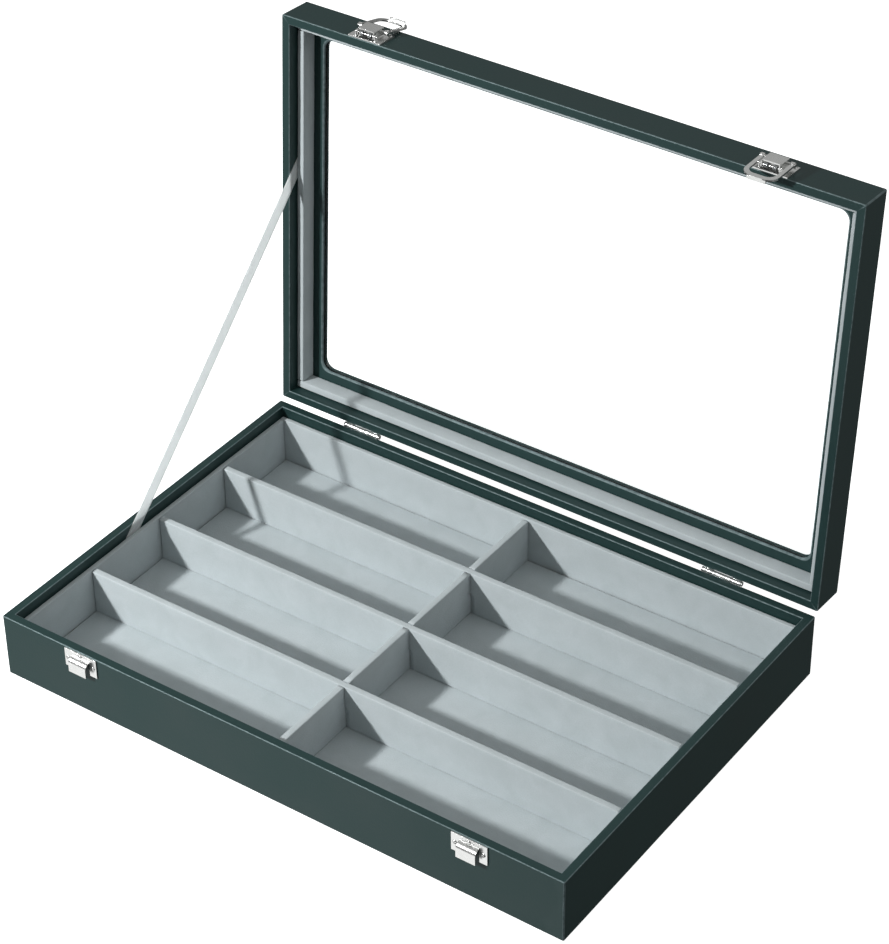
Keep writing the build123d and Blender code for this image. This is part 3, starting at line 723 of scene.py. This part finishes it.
def screw_tree(finish):
    """Screws on the points of a mesh, which face along -Y: a domed, slotted head and its shank."""
    tree = bpy.data.node_groups.new("slotted_screws", "GeometryNodeTree")
    sizes = {"Head radius": 1.2 * MM, "Head height": HEAD_HEIGHT, "Slot width": 0.35 * MM,
             "Slot depth": 0.3 * MM, "Shank radius": 0.8 * MM, "Shank length": 3.4 * MM}
    tree.interface.new_socket("Geometry", in_out="INPUT", socket_type="NodeSocketGeometry")
    for name, value in sizes.items():
        tree.interface.new_socket(name, in_out="INPUT", socket_type="NodeSocketFloat").default_value = value
    tree.interface.new_socket("Seed", in_out="INPUT", socket_type="NodeSocketInt").default_value = 4
    tree.interface.new_socket("Geometry", in_out="OUTPUT", socket_type="NodeSocketGeometry")
    given = add_node(tree, "NodeGroupInput").outputs

    def maths(operation, a, b):
        return add_node(tree, "ShaderNodeMath", {0: a, 1: b}, operation=operation).outputs[0]

    def vector(x=0.0, y=0.0, z=0.0):
        return add_node(tree, "ShaderNodeCombineXYZ", {"X": x, "Y": y, "Z": z}).outputs[0]

    def placed(shape, socket, value):
        sockets = {"Geometry": shape.outputs["Mesh"], socket: value}
        return add_node(tree, "GeometryNodeTransform", sockets).outputs[0]

    ball = add_node(tree, "GeometryNodeMeshUVSphere",
                    {"Segments": 28, "Rings": 16, "Radius": given["Head radius"]})
    crown = maths("DIVIDE", given["Head height"], given["Head radius"])
    dome = placed(ball, "Scale", vector(1.0, 1.0, crown))
    wide = maths("MULTIPLY", given["Head radius"], 3.0)
    block = add_node(tree, "GeometryNodeMeshCube", {"Size": vector(wide, wide, wide)})
    under = placed(block, "Translation", vector(z=maths("MULTIPLY", wide, -0.5)))
    saw = add_node(tree, "GeometryNodeMeshCube",
                   {"Size": vector(wide, given["Slot width"], given["Slot depth"])})
    lift = maths("SUBTRACT", given["Head height"], maths("MULTIPLY", given["Slot depth"], 0.5))
    slot = placed(saw, "Translation", vector(z=lift))
    cuts = add_node(tree, "GeometryNodeJoinGeometry", {"Geometry": under})
    tree.links.new(slot, cuts.inputs["Geometry"])
    head = add_node(tree, "GeometryNodeMeshBoolean", {"Mesh 1": dome, "Mesh 2": cuts.outputs[0]},
                    operation="DIFFERENCE")
    tip = maths("MULTIPLY", given["Shank radius"], 0.3)
    rod = add_node(tree, "GeometryNodeMeshCone",
                   {"Vertices": 16, "Radius Top": given["Shank radius"], "Radius Bottom": tip,
                    "Depth": given["Shank length"]})
    shank = placed(rod, "Translation", vector(z=maths("MULTIPLY", given["Shank length"], -1.0)))
    screw = add_node(tree, "GeometryNodeJoinGeometry", {"Geometry": head.outputs["Mesh"]})
    tree.links.new(shank, screw.inputs["Geometry"])
    spread_out = add_node(tree, "GeometryNodeInstanceOnPoints",
                          {"Points": given["Geometry"], "Instance": screw.outputs[0]})
    upright = add_node(tree, "GeometryNodeRotateInstances",
                       {"Instances": spread_out.outputs[0], "Rotation": (math.pi / 2, 0.0, 0.0)})
    roll = add_node(tree, "FunctionNodeRandomValue", {2: -0.7, 3: 0.7, "Seed": given["Seed"]},
                    data_type="FLOAT")
    twisted = add_node(tree, "GeometryNodeRotateInstances",
                       {"Instances": upright.outputs[0], "Rotation": vector(z=roll.outputs[1])})
    real = add_node(tree, "GeometryNodeRealizeInstances", {"Geometry": twisted.outputs[0]})
    plated = add_node(tree, "GeometryNodeSetMaterial", {"Geometry": real.outputs[0], "Material": finish})
    add_node(tree, "NodeGroupOutput", {"Geometry": plated.outputs[0]})
    return tree


slotted_screws = screw_tree(nickel)


def screw_boxes(node, to_drawn):
    """The lowest and highest corners of each of a node's separate solids."""
    bm = bmesh.new()
    bm.from_mesh(frame["nodes"][node].data)
    bmesh.ops.remove_doubles(bm, verts=bm.verts, dist=0.002 * MM)
    left, boxes = set(bm.verts), []
    while left:
        island, edge = set(), [left.pop()]
        while edge:
            vert = edge.pop()
            island.add(vert)
            near = {link.other_vert(vert) for link in vert.link_edges} & left
            left -= near
            edge += near
        points = [to_drawn @ vert.co for vert in island]
        low = Vector([min(p[a] for p in points) for a in range(3)])
        high = Vector([max(p[a] for p in points) for a in range(3)])
        boxes.append((low, high))
    bm.free()
    return boxes


def set_screws(name, node, body, seed):
    """Screws for one node, made facing the front of a shut box and turned round for its back."""
    to_drawn, to_place = (to_shut, to_open) if body == "lid" else (Matrix.Identity(4), Matrix.Identity(4))
    points = []
    for low, high in screw_boxes(node, to_drawn):
        face = max(-low.y, high.y) - HEAD_HEIGHT
        points.append(((low.x + high.x) / 2, -face, (low.z + high.z) / 2))
    mesh = bpy.data.meshes.new(name)
    mesh.from_pydata(points, [], [])
    carrier = bpy.data.objects.new(name, mesh)
    scene.collection.objects.link(carrier)
    modifier = carrier.modifiers.new("screws", "NODES")
    modifier.node_group = slotted_screws
    sockets = {item.name: item.identifier for item in slotted_screws.interface.items_tree
               if item.in_out == "INPUT"}
    modifier[sockets["Seed"]] = seed
    depsgraph = bpy.context.evaluated_depsgraph_get()
    made = bpy.data.meshes.new_from_object(carrier.evaluated_get(depsgraph), depsgraph=depsgraph)
    bpy.data.objects.remove(carrier)
    if high.y > 0:
        made.transform(Matrix.Rotation(math.pi, 4, "Z"))
    made.transform(to_place)
    tidy_faces(made)
    place_piece(name, made, nickel, body, "chrome", node)


set_screws("screws_catch", "catch_screws", "base", 3)
set_screws("screws_hinge_tray", "hinge_base_screws", "base", 5)
set_screws("screws_hinge_top", "hinge_lid_screws", "lid", 7)
set_screws("screws_latch", "latch_screws", "lid", 9)


# ---------------------------------------------------------------------------------------------
# Ribbon stay: 8 mm polyester satin, its ends tucked down behind the linings. It pulls taut as
# the lid opens and stops it, so it runs nearly straight, with a slight bow and twist.
# ---------------------------------------------------------------------------------------------
RIBBON_WIDTH = 8 * MM
RIBBON = 0.3 * MM
RIBBON_BOW = 0.5 * MM
RIBBON_CUP = 0.12 * MM
RIBBON_STEPS = 72
RIBBON_COLUMNS = 6


def satin_finish():
    """Polyester satin: white, softly shiny, ribbed very finely across, and some light comes through."""
    material, tree, shader = new_finish("polyester_satin_ribbon", Roughness=0.42, Sheen_Weight=0.4,
                                        Sheen_Roughness=0.3)
    strip = add_node(tree, "ShaderNodeUVMap", uv_map="weave").outputs[0]
    rib_mm, warp_mm = 0.8, 0.5
    ribs = add_node(tree, "ShaderNodeTexWave", {"Vector": strip, "Scale": 1 / rib_mm}, bands_direction="Y")
    warp = add_node(tree, "ShaderNodeTexWave", {"Vector": strip, "Scale": 1 / warp_mm, "Distortion": 1.0},
                    bands_direction="X")
    height = add_node(tree, "ShaderNodeMath", {0: ribs.outputs["Fac"], 1: warp.outputs["Fac"]}).outputs[0]
    raise_surface(tree, shader, height, 0.03 * MM, 0.5)
    shade = mixed(tree, warp.outputs["Fac"], linear("eceff0"), linear("fafbfc"))
    tree.links.new(shade, shader.inputs["Base Color"])
    glow = add_node(tree, "ShaderNodeBsdfTranslucent", {"Color": linear("f6f9f9")})
    mix = add_node(tree, "ShaderNodeMixShader", {0: 0.6, 1: shader.outputs[0], 2: glow.outputs[0]})
    tree.links.new(mix.outputs[0], tree.nodes["Material Output"].inputs["Surface"])
    return material


def ribbon_line():
    """The middles of the strip's two ends, and the direction across it, from the CAD strip's box."""
    low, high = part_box("ribbon_stay")
    run = high - low
    tilt = math.atan2(run.z, run.y)
    for _ in range(20):
        run_y = run.y - RIBBON_WIDTH * math.sin(tilt)
        run_z = run.z - RIBBON_WIDTH * math.cos(tilt)
        tilt = math.atan2(run_z, run_y)
    along = Vector((0, math.cos(tilt), math.sin(tilt)))
    across = Vector((0, -math.sin(tilt), math.cos(tilt)))
    middle = (low + high) / 2
    half = along * math.hypot(run_y, run_z) / 2
    return middle - half, middle + half, across


def ribbon_strip(foot, head, across):
    """The woven strip: it hangs through by a bow and is slightly cupped, and it has a UV map in mm."""
    bm = bmesh.new()
    weave = bm.loops.layers.uv.new("weave")
    rows = []
    for i in range(RIBBON_STEPS + 1):
        share = i / RIBBON_STEPS
        slack = math.sin(math.pi * share)
        row = []
        for j in range(RIBBON_COLUMNS + 1):
            offset = (j / RIBBON_COLUMNS - 0.5) * RIBBON_WIDTH
            cup = RIBBON_CUP * math.cos(math.pi * offset / RIBBON_WIDTH)
            sag = Vector((cup * slack, 0, -RIBBON_BOW * slack))
            row.append(bm.verts.new(foot.lerp(head, share) + across * offset + sag))
        rows.append(row)
    length = (head - foot).length
    for i in range(RIBBON_STEPS):
        for j in range(RIBBON_COLUMNS):
            face = bm.faces.new((rows[i][j], rows[i][j + 1], rows[i + 1][j + 1], rows[i + 1][j]))
            for loop, (a, b) in zip(face.loops, ((j, i), (j + 1, i), (j + 1, i + 1), (j, i + 1))):
                loop[weave].uv = (a / RIBBON_COLUMNS * RIBBON_WIDTH / MM, b / RIBBON_STEPS * length / MM)
    mesh = bpy.data.meshes.new("ribbon")
    bm.to_mesh(mesh)
    bm.free()
    mesh.shade_smooth()
    return finished(mesh, [("SOLIDIFY", {"thickness": RIBBON, "offset": 0.0})])


foot, head, across = ribbon_line()
strip = ribbon_strip(foot, head, across)
ribbon = place_piece("ribbon", strip, satin_finish(), None, "ribbon", "ribbon_stay")
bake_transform(ribbon)
